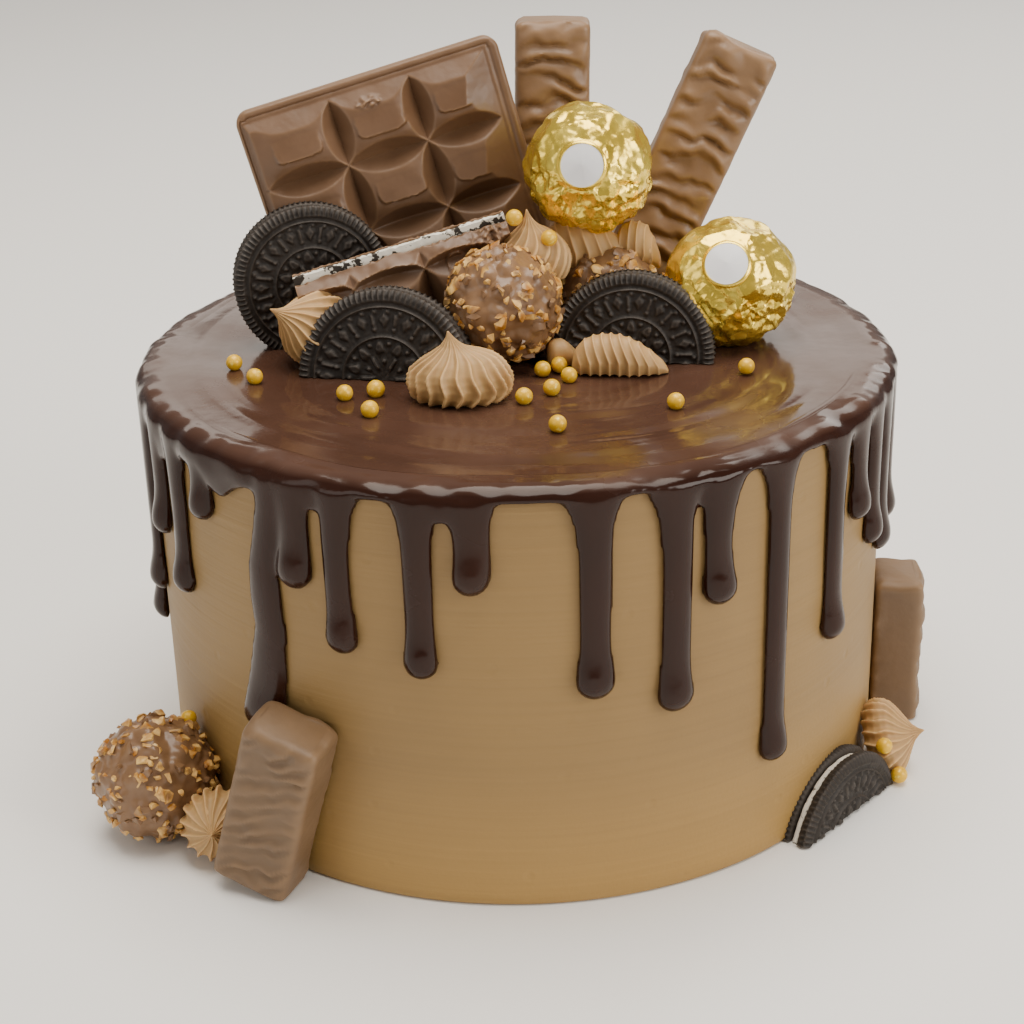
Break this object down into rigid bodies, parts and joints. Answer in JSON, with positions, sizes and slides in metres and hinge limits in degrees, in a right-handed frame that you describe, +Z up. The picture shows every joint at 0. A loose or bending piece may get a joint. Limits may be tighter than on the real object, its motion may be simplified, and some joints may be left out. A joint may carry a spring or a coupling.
{
  "type": "chocolate drip cake",
  "caption": "Tall round layer cake in smooth chocolate buttercream, with a dark ganache drip, topped with chocolate bars, sandwich cookies, foil-wrapped sweets and piped cream.",
  "frame": {"origin": "centre of the round cake's base, on the surface that it stands on", "axes": "+Z up along the cake's axis; the side with the decorated front faces -Y; +X to its right"},
  "size_m": [0.2364, 0.2134, 0.1992],
  "materials": {
    "bar_foot_left": "satin milk chocolate",
    "bar_foot_right": "satin milk chocolate",
    "bar_leaning": "satin milk chocolate",
    "bar_upright": "satin milk chocolate",
    "cake_body": "matt smoothed buttercream",
    "chocolate_slab": "satin milk chocolate",
    "cookie_back_left_cream": "matt white cream filling",
    "cookie_back_left_inner": "matt dark cocoa wafer",
    "cookie_back_left_outer": "matt dark cocoa wafer",
    "cookie_foot_cream": "matt white cream filling",
    "cookie_foot_inner": "matt dark cocoa wafer",
    "cookie_foot_outer": "matt dark cocoa wafer",
    "cookie_front_cream": "matt white cream filling",
    "cookie_front_inner": "matt dark cocoa wafer",
    "cookie_front_outer": "matt dark cocoa wafer",
    "cookie_right_cream": "matt white cream filling",
    "cookie_right_inner": "matt dark cocoa wafer",
    "cookie_right_outer": "matt dark cocoa wafer",
    "cream_foot_left": "matt piped chocolate buttercream",
    "cream_foot_right": "matt piped chocolate buttercream",
    "cream_front": "matt piped chocolate buttercream",
    "cream_heart": "matt piped chocolate buttercream",
    "cream_left": "matt piped chocolate buttercream",
    "cream_right": "matt piped chocolate buttercream",
    "cream_right_lobe": "matt piped chocolate buttercream",
    "cream_top_left": "matt piped chocolate buttercream",
    "cream_top_right": "matt piped chocolate buttercream",
    "filled_piece_back": "satin milk chocolate",
    "filled_piece_filling": "matt cream filling with crumbs",
    "filled_piece_front": "satin milk chocolate",
    "foil_ball_right": "crumpled gold foil",
    "foil_ball_right_label": "blank white label",
    "foil_ball_upper": "crumpled gold foil",
    "foil_ball_upper_label": "blank white label",
    "ganache": "glossy dark chocolate ganache",
    "nut_ball_foot": "milk chocolate coating with nut pieces",
    "nut_ball_front": "milk chocolate coating with nut pieces",
    "nut_ball_middle": "milk chocolate coating with nut pieces"
  },
  "bodies": {
    "root": {"bar_foot_left": "bar_foot_left", "bar_foot_right": "bar_foot_right", "bar_leaning": "bar_leaning", "bar_upright": "bar_upright", "cake_body": "cake_body", "chocolate_slab": "chocolate_slab", "cookie_back_left_cream": "cookie_back_left_cream", "cookie_back_left_inner": "cookie_back_left_inner", "cookie_back_left_outer": "cookie_back_left_outer", "cookie_foot_cream": "cookie_foot_cream", "cookie_foot_inner": "cookie_foot_inner", "cookie_foot_outer": "cookie_foot_outer", "cookie_front_cream": "cookie_front_cream", "cookie_front_inner": "cookie_front_inner", "cookie_front_outer": "cookie_front_outer", "cookie_right_cream": "cookie_right_cream", "cookie_right_inner": "cookie_right_inner", "cookie_right_outer": "cookie_right_outer", "cream_foot_left": "cream_foot_left", "cream_foot_right": "cream_foot_right", "cream_front": "cream_front", "cream_heart": "cream_heart", "cream_left": "cream_left", "cream_right": "cream_right", "cream_right_lobe": "cream_right_lobe", "cream_top_left": "cream_top_left", "cream_top_right": "cream_top_right", "filled_piece_back": "filled_piece_back", "filled_piece_filling": "filled_piece_filling", "filled_piece_front": "filled_piece_front", "foil_ball_right": "foil_ball_right", "foil_ball_right_label": "foil_ball_right_label", "foil_ball_upper": "foil_ball_upper", "foil_ball_upper_label": "foil_ball_upper_label", "ganache": "ganache", "nut_ball_foot": "nut_ball_foot", "nut_ball_front": "nut_ball_front", "nut_ball_middle": "nut_ball_middle"}
  },
  "joints": []
}
